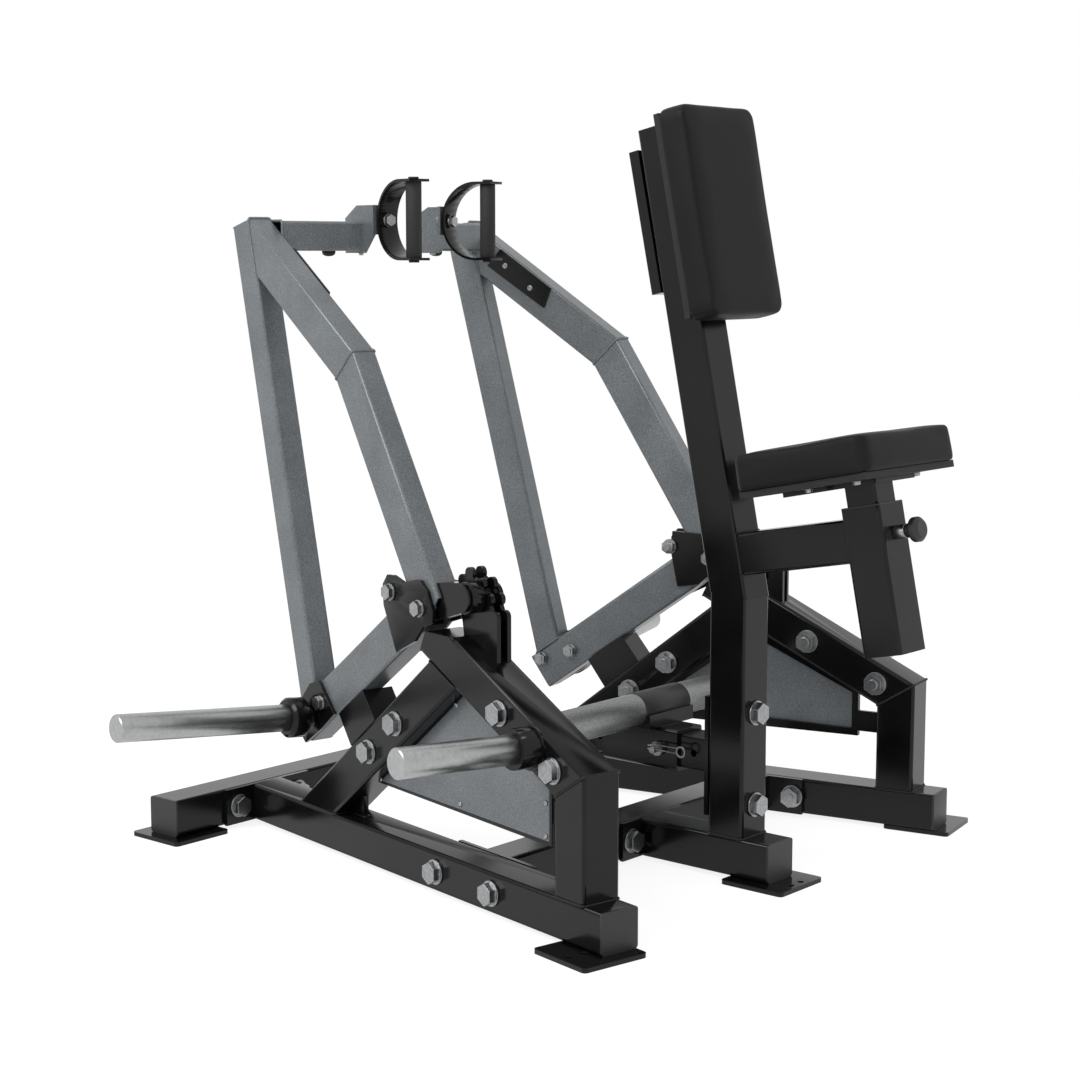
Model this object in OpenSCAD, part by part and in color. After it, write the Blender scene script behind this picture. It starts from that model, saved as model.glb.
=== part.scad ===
// Plate-loaded, chest-supported seated row, 1:1 in millimetres.
// +Z is up, +Y is the way the seated user faces, +X is the user's right.
// The origin is on the floor at the middle of the overall box.
// Each side frame is drawn once in its own axes, s rearward along the rail,
// o inward from the outer face and z up, then turned by the splay and mirrored.

/* [Tubes] */
// Width of the square frame tubes
tube = 75; // [60:1:90]
// Height of the floor rails
rail_h = 70; // [60:1:80]
// Wall of every tube
wall = 3; // [2:0.5:4]
// Outer corner radius of the tubes
corner_r = 6; // [4:0.5:9]
// Width of the arm tubes
arm_w = 50; // [40:1:52]

/* [Base] */
// Thickness of the foot plates
foot_t = 8; // [5:0.5:12]
// Half-length of the front cross rail
cross_half = 511; // [470:1:560]
// Splay of each side frame in degrees
splay = 11.25; // [9:0.25:13]
// Half the gap between the side frames at the front
side_x = 322.6; // [310:0.5:335]
// Length of a side rail from the cross rail
rail_len = 1065; // [1040:1:1090]
// Side of a square foot plate
foot_w = 130; // [115:1:140]
// Diameter of an anchor hole
anchor_d = 12; // [8:0.5:14]

/* [Side frames] */
// Fall of the rear strut in degrees
rear_fall = 26.3; // [25:0.1:27]
// Rise of the front strut in degrees
front_rise = 38; // [37:0.1:39]
// Height of the level top of a side frame
crown_z = 460; // [458:0.5:464]
// Diameter of the arm axle
axle_d = 30; // [24:1:34]
// Radial running clearance of the axles and bolts
fit = 0.1; // [0.05:0.01:0.15]
// Thickness of a pivot cheek
cheek_t = 8; // [6:0.5:9]

/* [Horns] */
// Diameter of the plate horns
horn_d = 50; // [45:0.5:52]
// Length of a loading horn past its collar
load_len = 345; // [320:5:400]
// Length of a storage horn past its collar
store_len = 225; // [200:5:260]

/* [Seat] */
// Width of the seat
seat_w = 294; // [260:2:340]
// Depth of the seat
seat_d = 265; // [230:5:290]
// Thickness of the seat cushion
seat_t = 63; // [50:1:75]
// Square of the seat post
seat_post = 60; // [54:1:63]
// Pitch of the seat holes
seat_pitch = 25; // [20:1:26]

/* [Chest pad] */
// Width of the chest pad
pad_w = 218; // [190:2:240]
// Height of the chest pad
pad_h = 370; // [330:5:390]
// Thickness of the chest cushion
pad_t = 56; // [45:1:62]

/* [Foot bar] */
// Diameter of the foot bar
bar_d = 60; // [48:1:64]
// Half-length of the foot bar
bar_half = 300; // [250:5:330]
// Pitch of the carriage holes
bar_pitch = 36; // [30:1:36]

/* [Hidden] */
$fn = 48;
black = [0.17, 0.17, 0.18];
grey = [0.52, 0.54, 0.55];
steel = [0.72, 0.72, 0.73];
vinyl = [0.06, 0.06, 0.065];
zb = foot_t;                 // underside of the rails
zt = foot_t + rail_h;        // top of the rails
y_front = 496.2 + tube + (foot_w - tube) / 2;
y_back = -745.3 - tube / 2 * cos(11.7);
ys = -(y_front + y_back) / 2;    // puts the origin at the middle of the box
yb = 496.2;                  // rear face of the cross rail before the shift
cs = cos(splay);
sn = sin(splay);
flange_t = 8;
// crown and struts
cr = cos(rear_fall);
sr = sin(rear_fall);
tr = tan(rear_fall);
cf = cos(front_rise);
sf = sin(front_rise);
crown_s = 670;
leg_s0 = 1020 - tube;
leg_s1 = 1020;
function up_z(s) = crown_z - tr * (s - crown_s);           // rear strut, upper edge
function lo_z(s) = up_z(s) - tube / cr;                    // rear strut, lower edge
fs_s = 601;
fs_z = lo_z(fs_s);
function fu_z(s) = fs_z + (s - fs_s) * sf / cf;            // front strut, upper edge
function fl_z(s) = fu_z(s) - tube / cf;                    // front strut, lower edge
piv = [690, 528];
cheek_rim = [[639, 528], [647, 551], [667, 565], [698, 550], [719, 526], [734, 498]];
cheek_lobe = 11;
cheek_o = [38, 60];
hub_o = [10, 36];
hub_r = 27;
arm_o = 2;
arm_o1 = arm_o + arm_w;
plate_t = 7;
// bolts
bolt_d = 20;
bolt_head = 34;
washer_d = 44;
hole_d = bolt_d + 1;
strut_bolts = [415, 499, 802, 943];
store_s = 886;
// arm
lean = 14;
arm_d = 75;
up_d = 60;
up_top = [-37, 1148];
lo_a = 35.3;
lo_p = [302, 354];
function lt_z(s) = lo_p[1] + tan(lo_a) * (s - lo_p[0]);    // lower tube, upper edge
dg_a = -34;
bend = [370, 930];
bt_a = -57.8;
mit_a = (dg_a + bt_a) / 2 - 90;
load_p = [226, 250];
load_a = 4.5;
store_a = 2.5;
sw = [102, 1163];            // swivel of a handle, s and z
sw_o = 261;
grip_s = 192;
ring_r = 76;
ring_c = sw[0] + ring_r - 2.5;
// centre line
lean_p = 11.75;
post_y = -391 - tube / 2;
bend_z = 512;
seat_a = 11.7;
sl_b = [-745.3, 439.4];      // foot of the sleeve axis
sl_len = 249;
sl_w = 80;
pin_t = 200;
seat_b = 293;                // underside of the seat board along the axis
board_t = 12;
seat_v0 = -93;
car_z = 178;
car_y0 = -322;
car_y1 = -150;
in_w = 60;
in_z = car_z + (tube - in_w) / 2;
pin_y = -282;
pin_z = car_z + tube / 2;
pin_d = 12;
in_y0 = post_y + tube / 2;
in_y1 = -60;
bar_y = -245;
bar_z = car_z + tube + bar_d / 2 + 1;

// ---- helpers -------------------------------------------------------------
module rr(w, h, r) {
    square([w - 2 * r, h], center = true);
    square([w, h - 2 * r], center = true);
    for (i = [-1, 1], j = [-1, 1])
        translate([i * (w / 2 - r), j * (h / 2 - r)]) circle(r);
}
// hollow tube along +Z
module box_tube(len, w, h, r = corner_r, t = wall) {
    linear_extrude(len) difference() {
        rr(w, h, r);
        square([w - 2 * t, h - 2 * t], center = true);
    }
}
// plate drawn in s and z, from o0 to o1
module sz(pts, o0, o1) {
    translate([0, o1, 0]) rotate([90, 0, 0]) linear_extrude(o1 - o0) polygon(pts);
}
// plate drawn in y and z, from x0 to x1
module yz(pts, x0, x1) {
    translate([x0, 0, 0]) rotate([90, 0, 90]) linear_extrude(x1 - x0) polygon(pts);
}
// everything on the left of the line p to q
module cut(p, q, o0 = -60, o1 = 140) {
    u = (q - p) / norm(q - p);
    n = [-u[1], u[0]];
    sz([p - u * 400, q + u * 400, q + u * 400 + n * 500, p - u * 400 + n * 500], o0, o1);
}
// tube in the side plane from p along angle a
module beam(p, a, len, d, o0, o1) {
    translate([p[0], (o0 + o1) / 2, p[1]]) rotate([0, -a, 0]) rotate([0, 90, 0])
        box_tube(len, d, o1 - o0);
}
// round bar across the side plane
module rod(p, o0, o1, d) {
    translate([p[0], o1, p[1]]) rotate([90, 0, 0]) cylinder(h = o1 - o0, d = d);
}
module hex(p, o0, o1, af) {
    translate([p[0], o1, p[1]]) rotate([90, 0, 0]) rotate([0, 0, 30])
        cylinder(h = o1 - o0, d = af / cos(30), $fn = 6);
}
// through bolt across the side plane: head outside o0, nut inside o1
module through(p, o0, o1, d = bolt_d, af = bolt_head, w = washer_d) {
    rod(p, o0 - 4, o0, w);
    hex(p, o0 - 4 - d * 0.65, o0 - 4, af);
    rod(p, o0 - 0.01, o1 + 4 + d * 0.9, d);
    rod(p, o1, o1 + 4, w);
    hex(p, o1 + 4, o1 + 4 + d * 0.75, af);
}
module left() {
    translate([-side_x, yb + ys, 0]) rotate([0, 0, -(90 + splay)]) children();
}
module right() {
    mirror([1, 0, 0]) left() children();
}
module mid() {
    translate([0, ys, 0]) children();
}
// along +Y bolts: head towards -Y
module bolt_y(x, y, z, len, d = bolt_d, af = bolt_head, w = washer_d) {
    translate([x, y, z]) rotate([-90, 0, 0]) {
        translate([0, 0, -4]) cylinder(h = 4, d = w);
        translate([0, 0, -4 - d * 0.65]) rotate([0, 0, 30])
            cylinder(h = d * 0.65, d = af / cos(30), $fn = 6);
        translate([0, 0, -0.01]) cylinder(h = len, d = d);
    }
}

// ---- base ----------------------------------------------------------------
flange_x = [-362.6, -209];
module cross_rail() mid() difference() {
    translate([-cross_half + 4, yb + tube / 2, zb + rail_h / 2]) rotate([0, 90, 0])
        box_tube(2 * cross_half - 8, rail_h, tube);
    for (m = [-1, 1], x = flange_x)
        translate([m * x, yb - 1, zb + rail_h / 2]) rotate([-90, 0, 0])
            cylinder(h = wall + 2, d = hole_d);
}
rail_bolts = [618, 778];
beam_s = 690;
module side_rail() {
    difference() {
        translate([-30, tube / 2, zb + rail_h / 2]) rotate([0, 90, 0])
            box_tube(rail_len + 26, rail_h, tube);
        // front end cut flush with the flange plate
        translate([0, 0, zb - 1]) linear_extrude(rail_h + 2)
            polygon([[(flange_t - 1 + sn * 50) / cs, -50], [(flange_t - 1 - sn * 130) / cs, 130],
                [-200, 130], [-200, -50]]);
        for (s = rail_bolts) rod([s, zb + rail_h / 2], -1, tube + 1, hole_d);
    }
    // flange plate on the cross rail
    rotate([0, 0, 90 + splay]) difference() {
        translate([side_x - 393, -flange_t, zb]) cube([214, flange_t, rail_h]);
        for (x = flange_x) translate([side_x + x, 1, zb + rail_h / 2])
            rotate([90, 0, 0]) cylinder(h = flange_t + 2, d = hole_d);
    }
}
beam_y = yb - cs * beam_s - sn * (tube + flange_t);
module mid_beam() mid() {
    w = side_x + sn * beam_s;
    difference() {
        translate([-w, beam_y, zb + rail_h / 2]) rotate([0, 90, 0])
            box_tube(2 * w, rail_h, tube);
        for (m = [0, 1]) mirror([m, 0, 0]) translate([-side_x, yb, 0])
            rotate([0, 0, -(90 + splay)]) translate([0, -300, -1])
                cube([1200, 299 + tube + flange_t, 200]);
        for (x = [-66, 66]) translate([x, beam_y - tube / 2 - 1, zb + rail_h / 2])
            rotate([-90, 0, 0]) cylinder(h = wall + 2, d = hole_d);
    }
    for (m = [0, 1]) mirror([m, 0, 0]) translate([-side_x, yb, 0])
        rotate([0, 0, -(90 + splay)]) difference() {
            translate([beam_s - 108, tube, zb]) cube([216, flange_t, rail_h]);
            for (s = rail_bolts) rod([s, zb + rail_h / 2], tube - 1, tube + 12, hole_d);
        }
}
cr_front = beam_y - tube / 2;
cr_back = -522.8;
module centre_rail() mid() {
    translate([0, cr_back + 4, zb + rail_h / 2]) rotate([-90, 0, 0])
        box_tube(cr_front - flange_t - cr_back - 3, tube, rail_h);
    difference() {
        translate([-90, cr_front - flange_t, zb]) cube([180, flange_t, rail_h]);
        for (x = [-66, 66]) translate([x, cr_front - flange_t - 1, zb + rail_h / 2])
            rotate([-90, 0, 0]) cylinder(h = flange_t + 2, d = hole_d);
    }
}
module foot(holes) {
    difference() {
        linear_extrude(foot_t) rr(foot_w, foot_w, 8);
        for (h = holes) translate([h[0], h[1], -1]) cylinder(h = foot_t + 2, d = anchor_d);
    }
}
foot_s = 1027;
foot_o = 8;
module foot_plates() {
    for (m = [0, 1]) mirror([m, 0, 0]) {
        mid() translate([-cross_half + foot_w / 2 - 24, yb + tube / 2, 0])
            foot([[-15, 51], [15, 51]]);
        left() translate([foot_s, foot_o, 0]) foot([[4, -47], [4, -17]]);
    }
    mid() translate([0, cr_back + 18, 0]) foot([[-15, -51], [15, -51]]);
}
// plug cap for a rail end, drawn on the outside of the end at z = 0
module cap() {
    linear_extrude(4) rr(rail_h, tube, corner_r);
    translate([0, 0, -12]) linear_extrude(12)
        square([rail_h - 2 * wall - 1, tube - 2 * wall - 1], center = true);
}
module end_caps() {
    for (m = [0, 1]) mirror([m, 0, 0]) {
        mid() translate([-cross_half + 4, yb + tube / 2, zb + rail_h / 2])
            rotate([0, -90, 0]) cap();
        left() translate([rail_len - 4, tube / 2, zb + rail_h / 2]) rotate([0, 90, 0]) cap();
    }
    mid() translate([0, cr_back + 4, zb + rail_h / 2]) rotate([90, 0, 0])
        rotate([0, 0, 90]) cap();
}

// ---- side frames ---------------------------------------------------------
mit0 = [leg_s0, lo_z(leg_s0)];
mit1 = [leg_s1, up_z(leg_s1)];
module rear_leg() difference() {
    translate([leg_s0 + tube / 2, tube / 2, zt]) box_tube(mit1[1] - zt + 5, tube, tube);
    cut(mit0, mit1);
}
axis0 = [crown_s, crown_z] - tube / 2 * [sr, cr] - 70 * [cr, -sr];
function bolt_at(i) = let (s = strut_bolts[i])
    [s, i < 2 ? (fu_z(s) + fl_z(s)) / 2 : (up_z(s) + lo_z(s)) / 2];
store_p = [store_s, (up_z(store_s) + lo_z(store_s)) / 2];
module rear_strut() {
    difference() {
        beam(axis0, -rear_fall, 520, tube, 0, tube);
        cut([500, crown_z - 1.5], [800, crown_z - 1.5]);
        cut(mit1, mit0);
        for (i = [2, 3]) rod(bolt_at(i), -1, tube + 1, hole_d);
    }
    // closing plate of the square end and the level top
    e = axis0 - tube / 2 * [sr, cr];
    f = e + (crown_z - e[1]) / cr * [sr, cr];
    sz([e + [0, 1], f, [crown_s, crown_z], [crown_s + 4, up_z(crown_s + 4)],
        [crown_s + 4, up_z(crown_s + 4) - 2.5], [crown_s - 1, crown_z - wall], f + [2.5, -wall],
        e + wall * [cr, -sr] + [0, 1]], 0.5, tube - 0.5);
    // two pivot cheeks with scalloped rims
    for (o = cheek_o) translate([0, o + cheek_t, 0]) rotate([90, 0, 0]) linear_extrude(cheek_t)
        difference() {
            union() {
                for (p = cheek_rim) translate(p) circle(cheek_lobe);
                polygon(concat([[652, crown_z - 1]], cheek_rim, [[745, 498],
                    [745, up_z(745) - 1], [crown_s, crown_z - 1]]));
            }
            translate(piv) circle(axle_d / 2 + fit);
            if (o > 50) translate([708, 474]) circle(8);
        }
    // collar of the storage horn
    translate([store_p[0], 0, store_p[1]]) rotate([90 - store_a, 0, 0]) difference() {
        translate([0, 0, -1]) cylinder(h = 41, d = 68);
        translate([0, 0, 5.95]) cylinder(h = 60, d = horn_d - 4 + 0.1);
    }
    difference() {
        rod(store_p, -5, 0.5, 76);
        translate([store_p[0], 0, store_p[1]]) rotate([90 - store_a, 0, 0])
            translate([0, 0, 5.95]) cylinder(h = 60, d = horn_d);
    }
}
module front_strut() {
    a0 = [fs_s, fs_z] + tube / 2 * [sf, -cf] - 580 * [cf, sf];
    difference() {
        beam(a0, front_rise, 680, tube, 0, tube);
        cut([500, lo_z(500)], [800, lo_z(800)]);
        sz([[0, -60], [700, -60], [700, zt], [0, zt]], -60, 140);
        rod(bolt_at(0), -1, tube + 1, hole_d);
        rod(bolt_at(1), -1, tube + 1, hole_d);
    }
    g = 347;
    sz([[fs_s + (zt - fs_z + tube / cf) * cf / sf - 2, zt], [g, zt], [g, fl_z(g) + 0.5]],
        tube / 2 - 5, tube / 2 + 5);
}
// closed panel between the struts, and the frame behind it
apex_s = fs_s + tube / cf / (sf / cf + tr);
apex = [apex_s, lo_z(apex_s)];
// the panel stands z0 above the low edge of the outer one
function pan_in(z0) = [[405 + 0.6 * z0, fl_z(405 + 0.6 * z0) - 4], [890, 153 + z0],
    [890, lo_z(890) - 4], apex - [1, 5]];
module side_panel(z0) sz(pan_in(z0), 34, 37);
module panel_frame(z0) {
    difference() {
        sz([[394 + 0.6 * z0, fl_z(394 + 0.6 * z0)], [897, 146 + z0], [897, lo_z(897)], apex],
            34, 45);
        sz(pan_in(z0), 33, 37);
        sz([[424 + 0.8 * z0, 163 + z0], [884, 160 + z0], [884, lo_z(884) - 16],
            apex - [6, 24]], 36, 46);
    }
    // tab to the leg
    translate([896, 37, 180]) cube([leg_s0 - 896, 8, 40]);
}
module storage_horn() translate([store_p[0], 0, store_p[1]]) rotate([90 - store_a, 0, 0])
    translate([0, 0, 6]) horn(34, store_len);
// horn on a reduced spigot of length a that sits in the collar
module horn(a, len) {
    cylinder(h = a + 1, d = horn_d - 4);
    translate([0, 0, a]) cylinder(h = len - 3, d = horn_d);
    translate([0, 0, a + len - 3]) cylinder(h = 3, d1 = horn_d, d2 = horn_d - 6);
}
module arm_bumper() {
    // block on the front strut and its rubber, under the arm tube
    b0 = [352, fu_z(352)];
    b1 = [430, fu_z(430)];
    n = [-sin(lo_a), cos(lo_a)];
    u = [cos(lo_a), sin(lo_a)];
    t0 = [313, lt_z(313) - arm_d / cos(lo_a) - 1];
    t1 = [392, lt_z(392) - arm_d / cos(lo_a) - 1];
    sz([b0, b1, t1, t0], 2, 66);
}

// ---- centre --------------------------------------------------------------
up_dir = [sin(lean_p), cos(lean_p)];
up_n = [cos(lean_p), -sin(lean_p)];
post_top = 1320;
module centre_post() mid() {
    bz = bend_z - tube / 2 * tan(lean_p / 2);
    difference() {
        translate([0, post_y, zt]) box_tube(bz - zt + 30, tube, tube);
        yz([[post_y + 200, bz + 200 * tan(lean_p / 2)], [post_y - 200, bz - 200 * tan(lean_p / 2)],
            [post_y - 200, bz + 300], [post_y + 200, bz + 300]], -60, 60);
        for (z = [135, 300]) translate([0, post_y - tube / 2 - 1, z]) rotate([-90, 0, 0])
            cylinder(h = wall + 2, d = hole_d);
    }
    difference() {
        translate([0, post_y, bz]) rotate([-lean_p, 0, 0]) translate([0, 0, -60])
            box_tube(60 + (post_top - bz) / cos(lean_p), tube, tube);
        yz([[post_y + 200, bz + 200 * tan(lean_p / 2)], [post_y - 200, bz - 200 * tan(lean_p / 2)],
            [post_y - 200, bz - 300], [post_y + 200, bz - 300]], -60, 60);
    }
    // two bars that carry the chest pad
    for (h = [22, pad_h - 82]) yz([pad_p(0.02, h), pad_p(0.02, h + 60),
        pad_p(pad_gap + 0.3, h + 60), pad_p(pad_gap + 0.3, h)], -30, 30);
}
// a point on the rear face of the upper post
function post_r(z) = [post_y - tube / 2 / cos(lean_p)
    + (z - bend_z + tube / 2 * tan(lean_p / 2)) * tan(lean_p), z];
pad_a = lean_p;
pad_gap = 12;
pad_0 = post_r(978) - pad_gap * [cos(pad_a), -sin(pad_a)];
// a point at depth d in front of the pad's back and height h along it
function pad_p(d, h) = pad_0 + d * [cos(pad_a), -sin(pad_a)] + h * [sin(pad_a), cos(pad_a)];
module pad_place() mid() translate([0, pad_0[0], pad_0[1]]) rotate([-pad_a, 0, 0]) children();
module pad_board() pad_place() difference() {
    translate([-pad_w / 2 + 8, -board_t, 8]) cube([pad_w - 16, board_t, pad_h - 16]);
}
// cushion block: w across, h along, t thick, with a crown and drawn-in sides
module cushion(w, h, t, r, c) {
    hull() {
        for (i = [-1, 1], j = [-1, 1]) {
            translate([i * (w / 2 - r), j * (h / 2 - r), 0]) cylinder(h = 8, r = r - 3, $fn = 24);
            translate([i * (w / 2 - r), j * (h / 2 - r), 12]) cylinder(h = t - 24, r = r, $fn = 24);
            translate([i * (w / 2 - r), j * (h / 2 - r), t - c - 8])
                rotate_extrude($fn = 24) intersection() {
                    translate([r - 8, 0]) circle(8, $fn = 24);
                    square([r, 20]);
                }
        }
        translate([0, 0, t - c - 1]) cylinder(h = 1 + c, r = min(w, h) / 2 - 30, $fn = 32);
    }
}
module chest_pad() pad_place() translate([0, -board_t, pad_h / 2]) rotate([90, 0, 0])
    cushion(pad_w, pad_h, pad_t, 22, 4);
module placard_tray() mid() difference() {
    union() {
        yz([tray_p(0, 0), tray_p(0, tray_h), tray_p(21, tray_h), tray_p(21, 0)], -30, 30);
        // spacers to the front face of the post
        for (h = [30, tray_h - 65]) yz([tray_p(20.5, h), tray_p(20.5, h + 35),
            post_f(tray_p(0, h)[1] + 36), post_f(tray_p(0, h)[1] + 2)], -20, 20);
    }
    yz([tray_p(6, 10), tray_p(6, tray_h + 5), tray_p(13, tray_h + 5), tray_p(13, 10)], -26, 26);
}
// a point at depth d behind the tray's front and height h along it
function tray_p(d, h) = [-253, 1027] + d * [-cos(tray_a), sin(tray_a)]
    + h * [sin(tray_a), cos(tray_a)];
tray_a = 12.2;
tray_h = 255;
function post_f(z) = post_r(z) + [tube / cos(lean_p), 0];
// seat axis frame: local z along the sleeve, local y forward
module seat_place() mid() translate([0, sl_b[0], sl_b[1]]) rotate([-seat_a, 0, 0]) children();
module seat_sleeve() {
    seat_place() difference() {
        box_tube(sl_len, sl_w, tube);
        translate([0, -tube / 2 - 1, pin_t]) rotate([-90, 0, 0]) cylinder(h = wall + 2, d = 16.4);
    }
    mid() difference() {
        translate([0, -541, 599.6]) rotate([-10.6, 0, 0]) rotate([-90, 0, 0])
            translate([0, 0, -220]) box_tube(400, tube, 74);
        // trimmed on the post and on the sleeve
        yz([post_r(300), post_r(900), post_r(900) + [300, 0], post_r(300) + [300, 0]], -60, 60);
        yz([sv(-300, -80), sv(-300, 400), sv(tube / 2 - 1, 400), sv(tube / 2 - 1, -80)], -60, 60);
    }
}
// a point in the seat frame as y and z
function sv(v, t) = sl_b + v * [cos(seat_a), -sin(seat_a)] + t * [sin(seat_a), cos(seat_a)];
module sleeve_liners() seat_place() for (t = [0, sl_len - 40]) translate([0, 0, t])
    difference() {
        union() {
            linear_extrude(40) square([sl_w - 2 * wall - 0.2, tube - 2 * wall - 0.2], center = true);
            if (t > 0) translate([0, 0, 40]) linear_extrude(3) rr(sl_w, tube, corner_r);
        }
        translate([0, 0, -1]) linear_extrude(50)
            square([seat_post + 0.4, seat_post + 0.4], center = true);
        if (t > 0) translate([0, -tube / 2, pin_t - t]) rotate([-90, 0, 0])
            cylinder(h = 12, d = 16.4);
    }
module seat_frame() seat_place() {
    difference() {
        translate([0, 0, 34]) box_tube(seat_b - 8 - 34, seat_post, seat_post, 4);
        for (k = [-1 : 5]) translate([0, -seat_post / 2 - 1, pin_t - k * seat_pitch])
            rotate([-90, 0, 0]) cylinder(h = wall + 2, d = 11);
    }
    translate([-60, seat_v0 + 40, seat_b - 8]) cube([120, seat_d - 80, 8]);
}
module seat_board() seat_place() translate([-seat_w / 2 + 8, seat_v0 + 8, seat_b])
    cube([seat_w - 16, seat_d - 16, board_t]);
module seat_cushion() seat_place() translate([0, seat_v0 + seat_d / 2, seat_b + board_t])
    cushion(seat_w, seat_d, seat_t, 22, 4);
module pop_housing() seat_place() translate([0, -tube / 2, pin_t]) rotate([90, 0, 0])
    difference() {
        union() {
            cylinder(h = 22, d = 24);
            translate([0, 0, -wall]) cylinder(h = wall, d = 16);
        }
        translate([0, 0, -wall - 1]) cylinder(h = 30, d = 10.2);
    }
module pop_pin() seat_place() translate([0, -tube / 2, pin_t]) rotate([90, 0, 0]) {
    translate([0, 0, -12]) cylinder(h = 42, d = 10);
    translate([0, 0, 22.3]) cylinder(h = 9, d = 24);
    translate([0, 0, 31]) cylinder(h = 5, d1 = 30, d2 = 42);
    translate([0, 0, 36]) cylinder(h = 10, d = 42);
    translate([0, 0, 46]) cylinder(h = 6, d1 = 42, d2 = 30);
}
// slide tube for the foot bar, fixed to the post
module foot_slide() mid() difference() {
    union() {
        translate([0, in_y0 + flange_t, in_z + in_w / 2]) rotate([-90, 0, 0])
            box_tube(in_y1 - in_y0 - flange_t - 3, in_w, in_w, 4);
        translate([-in_w / 2, in_y1 - 3, in_z]) cube([in_w, 3, in_w]);
        translate([-tube / 2, in_y0, 110]) cube([tube, flange_t, 215]);
    }
    for (k = [-2 : 5]) translate([-50, pin_y + k * bar_pitch, pin_z]) rotate([0, 90, 0])
        cylinder(h = 100, d = pin_d + 1);
    for (z = [135, 300]) translate([0, in_y0 - 1, z]) rotate([-90, 0, 0])
        cylinder(h = flange_t + 2, d = hole_d);
}
module carriage() mid() {
    difference() {
        union() {
            translate([0, car_y0, car_z + tube / 2]) rotate([-90, 0, 0])
                linear_extrude(car_y1 - car_y0) difference() {
                    rr(tube, tube, corner_r);
                    square([in_w + 0.6, in_w + 0.6], center = true);
                }
            // saddle block under the bar
            translate([-65, bar_y - 37, car_z + tube]) cube([130, 74, bar_d / 2 - 4]);
        }
        translate([-60, pin_y, pin_z]) rotate([0, 90, 0]) cylinder(h = 120, d = pin_d + 1);
        translate([-80, bar_y, bar_z]) rotate([0, 90, 0]) cylinder(h = 160, d = bar_d + 0.1);
    }
}
module foot_bar() mid() translate([-bar_half, bar_y, bar_z]) rotate([0, 90, 0])
    difference() {
        cylinder(h = 2 * bar_half, d = bar_d);
        translate([0, 0, wall]) cylinder(h = 2 * bar_half - 2 * wall, d = bar_d - 2 * wall);
    }
module hitch_pin() mid() translate([0, pin_y, pin_z]) rotate([0, 90, 0]) {
    translate([0, 0, -60]) cylinder(h = 110, d = pin_d);
    translate([0, 0, -tube / 2 - 8.2]) cylinder(h = 8, d = 26);
    translate([0, 0, -61]) cylinder(h = 3, d1 = pin_d - 3, d2 = pin_d);
    hitch_clip(-52);
}
// spring wire clip through the pin
module hitch_clip(x) translate([0, 0, x]) {
    w = 3;
    translate([0, -52, 0]) rotate([-90, 0, 0]) cylinder(h = 66, d = w);
    translate([-4, -60, -w / 2 + 0.1]) difference() {
        cylinder(h = w - 0.2, d = 21);
        translate([0, 0, -1]) cylinder(h = w + 2, d = 15);
    }
    translate([-9.5, -53, 0]) rotate([-90, 0, 0]) cylinder(h = 53, d = w);
    translate([-9.5, -2, 0]) rotate([0, 0, -14]) rotate([-90, 0, 0])
        cylinder(h = 16, d = w - 0.1);
}

// ---- arms ----------------------------------------------------------------
function isect(p, u, q, v) = p + cross(q - p, v) / cross(u, v) * u;
ud = [sin(lean), -cos(lean)];              // down the upright
un = [cos(lean), sin(lean)];               // from its front face to its rear face
up_ax = up_top + up_d / 2 * un;
module arm_upright() {
    difference() {
        beam(up_ax, -(90 - lean), 1000, up_d, arm_o, arm_o1);
        cut([400, lt_z(400)], [0, lt_z(0)]);
    }
    // closing plate of the top
    translate([up_top[0], arm_o, up_top[1]]) rotate([0, -lean, 0])
        translate([1, 1, -wall]) cube([up_d - 2, arm_w - 2, wall + 1]);
}
dgu = [cos(dg_a), sin(dg_a)];
dgn = [sin(dg_a), -cos(dg_a)];             // from the upper to the lower edge
btu = [cos(bt_a), sin(bt_a)];
btn = [sin(bt_a), -cos(bt_a)];
mid_n = [sin((dg_a + bt_a) / 2), -cos((dg_a + bt_a) / 2)];
module arm_diagonal() difference() {
    beam(bend + arm_d / 2 * dgn - 480 * dgu, dg_a, 560, arm_d, arm_o, arm_o1);
    // butts on the rear face of the upright, mitred at the bend
    cut(up_top + up_d * un + 300 * ud, up_top + up_d * un - 100 * ud);
    cut(bend - 200 * mid_n, bend + 200 * mid_n);
}
e0 = [624, 519];
e1 = [592, 470];
bt_rear = isect(bend, btu, e0, e1 - e0);
bt_low = isect(bend + arm_d * btn, btu, e1, [1, 1]);
module arm_bent() {
    difference() {
        beam(bend + arm_d / 2 * btn - 80 * btu, bt_a, 640, arm_d, arm_o, arm_o1);
        cut(bend + 200 * mid_n, bend - 200 * mid_n);
        cut(e0, e1);
        cut(e1, e1 - [30, 30]);
        for (b = p_bolts) rod(b, -1, arm_o1 + 1, arm_bd + 1);
    }
}
lo_u = [cos(lo_a), sin(lo_a)];
lo_n = [sin(lo_a), -cos(lo_a)];
lo_end = [214, lt_z(214) - arm_d / cos(lo_a)];
module arm_lower() {
    difference() {
        beam(lo_p + arm_d / 2 * lo_n - 190 * lo_u, lo_a, 520, arm_d, arm_o, arm_o1);
        // upper end against the front face of the bent tube, lower end square
        cut(bend + arm_d * btn, bend + arm_d * btn + 600 * btu);
        cut(lo_end, lo_end - 60 * lo_n);
        for (b = concat(p_bolts, hp_bolts)) rod(b, -1, arm_o1 + 1, arm_bd + 1);
    }
    translate([lo_end[0], arm_o, lo_end[1]]) rotate([0, -lo_a, 0])
        translate([0, 1, 1]) cube([wall, arm_w - 2, arm_d - 2]);
}
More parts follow.
